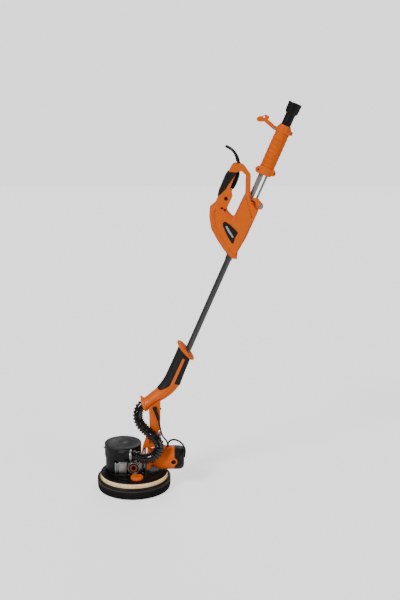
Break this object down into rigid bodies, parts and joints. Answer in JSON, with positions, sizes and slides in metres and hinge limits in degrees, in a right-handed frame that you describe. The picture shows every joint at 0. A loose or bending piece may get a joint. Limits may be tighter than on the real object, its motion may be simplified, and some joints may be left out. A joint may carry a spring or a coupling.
{
  "type": "pole drywall sander",
  "caption": "Corded pole drywall sander with gimballed 225 mm disc head, motor, suction hose, goose-neck, D-handle body and telescopic rear grip.",
  "frame": {"origin": "centre of the abrasive disc's working face, which lies flat on the plane z = 0", "axes": "+Z out of the head away from the work, +X the side the pole leans to, -Y the side with the switch lock and the suction knob"},
  "size_m": [0.6709, 0.25, 1.3044],
  "materials": {
    "orange_plastic": "satin moulded",
    "orange_casting": "satin paint",
    "black_plastic": "satin moulded",
    "black_rubber": "matt",
    "bristle_black": "fibrous",
    "cast_aluminium": "as cast, bead blasted",
    "bright_steel": "turned",
    "dark_tube": "dark anodised gloss",
    "copper_winding": "lacquered",
    "led_diffuser": "frosted",
    "foam": "open cell",
    "abrasive": "gritty",
    "tie_webbing": "woven"
  },
  "bodies": {
    "pole": {"neck_shell_front": "orange_plastic", "neck_shell_back": "orange_plastic", "grip_sleeve": "black_rubber", "hand_guard": "orange_plastic", "hose_collar": "orange_plastic", "fork_leg": "orange_casting", "lead_strain_relief": "black_rubber", "motor_lead": "black_rubber", "corrugated_hose": "black_plastic", "lower_tube": "dark_tube", "body_shell_front": "orange_plastic", "body_shell_back": "orange_plastic", "overmould": "black_rubber", "clamp_pin": "bright_steel", "cord_strain_relief": "black_rubber", "power_cord": "black_rubber", "cord_hank": "black_rubber", "hank_tie": "tie_webbing", "plug": "black_rubber"},
    "gimbal": {"gimbal_cross": "bright_steel", "tilt_pin": "bright_steel", "hose_clip": "black_plastic"},
    "head": {"head_cover": "black_plastic", "led_diffuser": "led_diffuser", "brush_skirt": "bristle_black", "gear_case": "cast_aluminium", "gear_case_cap": "black_plastic", "spindle_bearing": "bright_steel", "drum_stand": "black_plastic", "fan_drum": "black_plastic", "drum_lid": "black_plastic", "hose_band": "bright_steel", "motor_flange": "orange_plastic", "motor_housing": "orange_plastic", "brush_cap_front": "black_plastic", "brush_cap_back": "black_plastic", "motor_end_cap": "black_plastic", "field_core": "copper_winding", "pivot_bracket": "orange_casting"},
    "disc": {"abrasive_disc": "abrasive", "foam_pad": "foam", "pad_plate": "black_plastic", "spindle": "bright_steel", "bevel_wheel": "bright_steel"},
    "rotor": {"rotor_shaft": "bright_steel", "rotor_core": "copper_winding"},
    "fan": {"impeller": "black_plastic"},
    "knob": {"suction_knob": "orange_plastic"},
    "trigger": {"trigger": "black_plastic"},
    "lock_button": {"lock_button": "black_plastic"},
    "speed_dial": {"speed_dial": "black_plastic"},
    "clamp_lever": {"clamp_lever": "orange_plastic"},
    "slider": {"upper_tube": "dark_tube", "guide_rod": "bright_steel", "grip_clamp": "orange_plastic", "rear_grip": "orange_plastic", "grip_end_collar": "orange_plastic", "hook_screw": "bright_steel"},
    "hook": {"hook_arm": "orange_plastic"},
    "adapter": {"hose_adapter": "black_plastic"}
  },
  "joints": [
    {"name": "head_tilt", "type": "hinge", "parent": "pole", "child": "gimbal", "pos_m": [0.073, 0, 0.185], "axis": [0, 1, 0], "range_deg": [-35, 28], "deforming": ["corrugated_hose", "motor_lead"]},
    {"name": "head_roll", "type": "hinge", "parent": "gimbal", "child": "head", "pos_m": [0.073, 0, 0.185], "axis": [1, 0, 0], "range_deg": [-25, 25]},
    {"name": "disc_spin", "type": "hinge", "parent": "head", "child": "disc", "pos_m": [0, 0, 0.05], "axis": [0, 0, 1], "continuous": true},
    {"name": "motor_spin", "type": "hinge", "parent": "head", "child": "rotor", "pos_m": [0.09, 0, 0.106], "axis": [1, 0, 0], "continuous": true},
    {"name": "fan_spin", "type": "hinge", "parent": "head", "child": "fan", "pos_m": [-0.038, 0.024, 0.11], "axis": [0, 0, 1], "continuous": true},
    {"name": "knob_turn", "type": "hinge", "parent": "head", "child": "knob", "pos_m": [0.014, -0.074, 0.06], "axis": [0, 0, 1], "range_deg": [0, 90]},
    {"name": "trigger_pull", "type": "hinge", "parent": "pole", "child": "trigger", "pos_m": [0.34445, 0, 1.0757], "axis": [0, 1, 0], "range_deg": [0, 4], "stiffness_Nm_per_rad": 3, "springref_deg": -4.58},
    {"name": "lock_press", "type": "slide", "parent": "pole", "child": "lock_button", "axis": [0, 1, 0], "range_m": [0, 0.0025], "stiffness_N_per_m": 400, "springref_m": -0.002},
    {"name": "dial_turn", "type": "hinge", "parent": "pole", "child": "speed_dial", "pos_m": [0.29974, -0.0226, 0.96376], "axis": [0.3939, 0, 0.9191], "range_deg": [0, 270]},
    {"name": "lever_open", "type": "hinge", "parent": "pole", "child": "clamp_lever", "pos_m": [0.41772, 0, 0.97249], "axis": [0, 1, 0], "range_deg": [0, 100]},
    {"name": "pole_slide", "type": "slide", "parent": "pole", "child": "slider", "axis": [0.3939, 0, 0.9191], "range_m": [0, 0.1]},
    {"name": "hook_fold", "type": "hinge", "parent": "slider", "child": "hook", "pos_m": [0.45969, 0, 1.21942], "axis": [0, 1, 0], "range_deg": [-60, 30]},
    {"name": "adapter_swivel", "type": "hinge", "parent": "slider", "child": "adapter", "pos_m": [0.50654, 0, 1.25157], "axis": [0.3939, 0, 0.9191], "continuous": true}
  ],
  "couplings": [
    {"joint": "motor_spin", "follows": "disc_spin", "ratio": 4},
    {"joint": "fan_spin", "follows": "disc_spin", "ratio": -3}
  ]
}
